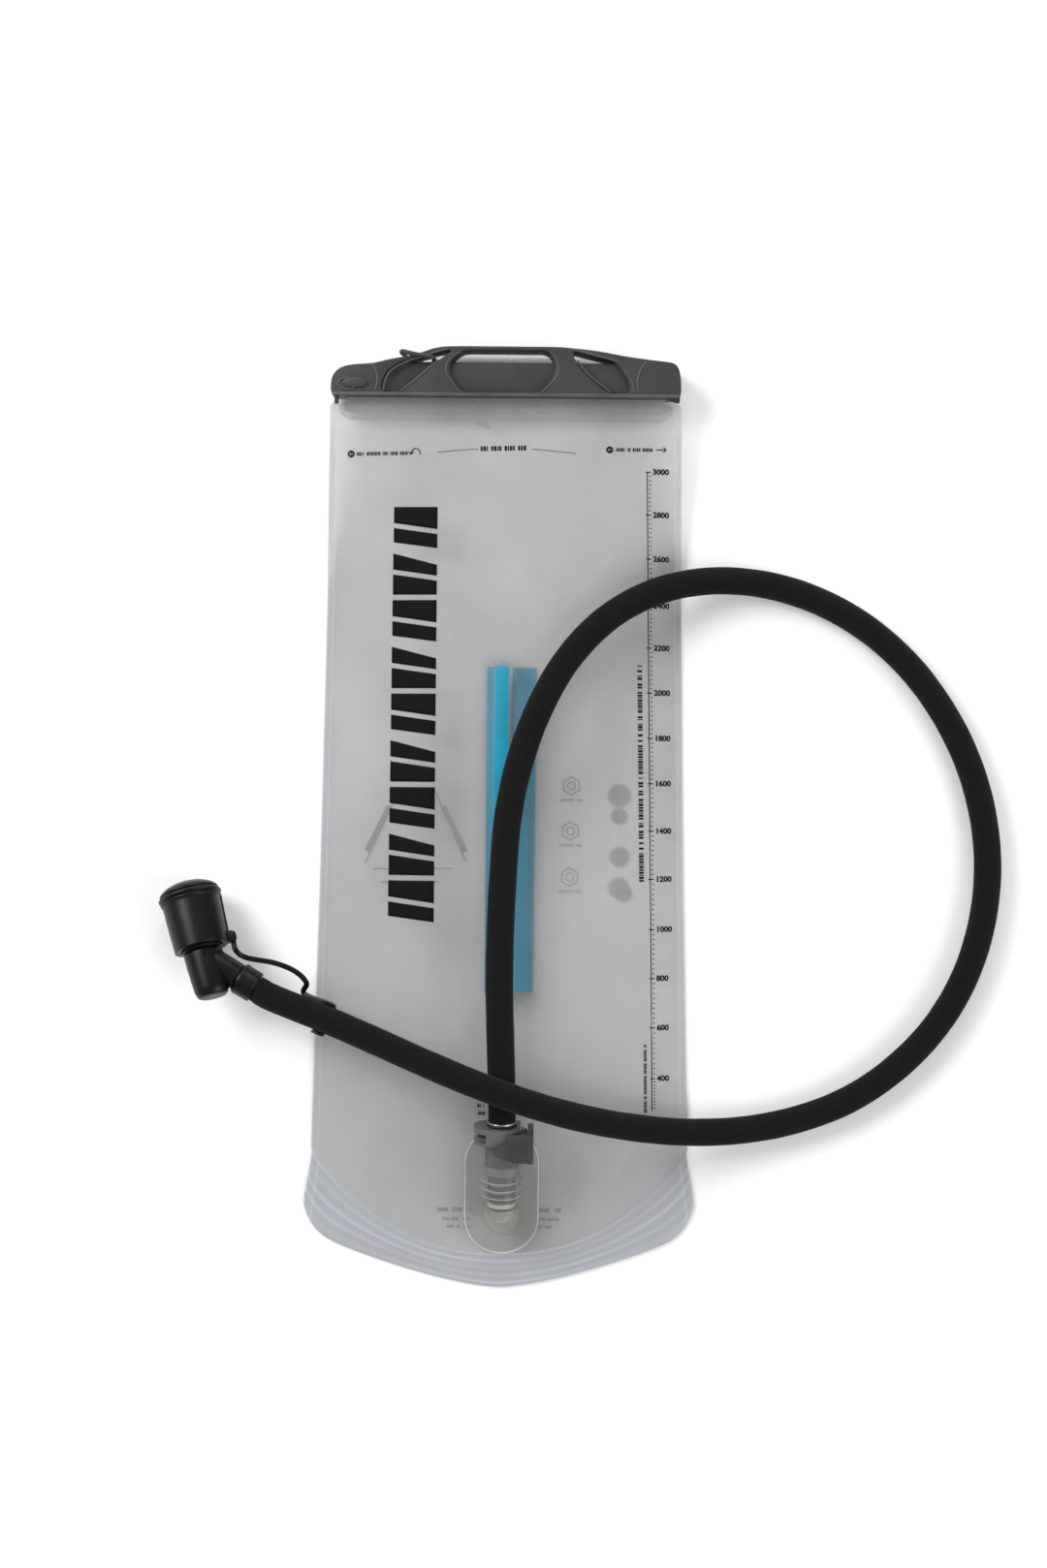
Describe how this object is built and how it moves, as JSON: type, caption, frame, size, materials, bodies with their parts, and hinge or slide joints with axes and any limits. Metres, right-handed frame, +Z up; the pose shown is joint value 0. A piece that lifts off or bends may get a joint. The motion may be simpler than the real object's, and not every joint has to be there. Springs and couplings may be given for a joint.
{
  "type": "hydration bladder",
  "caption": "Flat film water reservoir with a folded top under a slide closure, a drink port with a thumb latch, an insulated hose and a twist-off bite valve under a dust cap.",
  "frame": {"origin": "Middle of the underside of the bag's bounding box, taken without the hose and what is on it; the bag lies on z = 0.", "axes": "+X to the right of the bag, +Y from the port towards the slide closure, +Z up from the bag's front film."},
  "size_m": [0.4079, 0.456, 0.0508],
  "materials": {
    "film": "frosted translucent film",
    "slider_grey": "matte moulded",
    "port_clear": "translucent moulded",
    "latch_grey": "satin moulded",
    "baffle_blue": "satin film",
    "valve_black": "satin moulded",
    "rubber": "matte",
    "neoprene": "brushed knit over foam",
    "tube_clear": "clear flexible tube",
    "steel": "bright wire",
    "elastic": "smooth cord"
  },
  "bodies": {
    "reservoir": {"front_panel": "film", "rear_panel": "film", "mouth_rail_front": "film", "mouth_rail_back": "film", "baffle_front_web": "baffle_blue", "baffle_rear_web": "baffle_blue", "port_housing": "port_clear", "latch_body": "latch_grey", "valve_seat": "port_clear", "slider_tether": "elastic", "latch_spring": "steel", "poppet_spring": "steel"},
    "slider": {"slider": "slider_grey", "catch_pad": "slider_grey"},
    "latch": {"latch_lever": "latch_grey", "retaining_clip": "steel"},
    "poppet": {"poppet": "latch_grey", "poppet_seal": "rubber"},
    "hose": {"plug": "latch_grey", "plug_oring_1": "rubber", "plug_oring_2": "rubber", "hose_ferrule": "steel", "hose_sleeve": "neoprene", "hose_tube": "tube_clear", "hose_collar": "valve_black", "valve_elbow": "valve_black", "cap_strap": "valve_black", "strap_clip": "valve_black"},
    "twist": {"twist_ring": "valve_black", "shutoff_spool": "valve_black", "spool_oring": "rubber", "mouthpiece": "rubber"},
    "cap": {"dust_cap": "valve_black"}
  },
  "joints": [
    {"name": "slider_slide", "type": "slide", "parent": "reservoir", "child": "slider", "axis": [-1, 0, 0], "range_m": [0, 0.165], "deforming": ["slider_tether"]},
    {"name": "plug_release", "type": "slide", "parent": "reservoir", "child": "hose", "axis": [0, 0.9781, 0.2079], "range_m": [0, 0.042], "deforming": ["retaining_clip"]},
    {"name": "latch_press", "type": "slide", "parent": "reservoir", "child": "latch", "axis": [-1, 0, 0], "range_m": [0, 0.0016], "stiffness_N_per_m": 1500, "springref_m": -0.0005, "deforming": ["latch_spring"]},
    {"name": "poppet_travel", "type": "slide", "parent": "reservoir", "child": "poppet", "axis": [0, 0.9781, 0.2079], "range_m": [0, 0.0025], "deforming": ["poppet_spring"]},
    {"name": "valve_twist", "type": "hinge", "parent": "hose", "child": "twist", "pos_m": [-0.1426, -0.067, 0.0233], "axis": [-0.2581, 0.9308, -0.2588], "range_deg": [0, 90]},
    {"name": "cap_pull", "type": "slide", "parent": "hose", "child": "cap", "axis": [-0.2581, 0.9308, -0.2588], "range_m": [0, 0.034], "deforming": ["cap_strap"]}
  ],
  "couplings": [
    {"joint": "poppet_travel", "follows": "plug_release", "ratio": 0.0595}
  ]
}
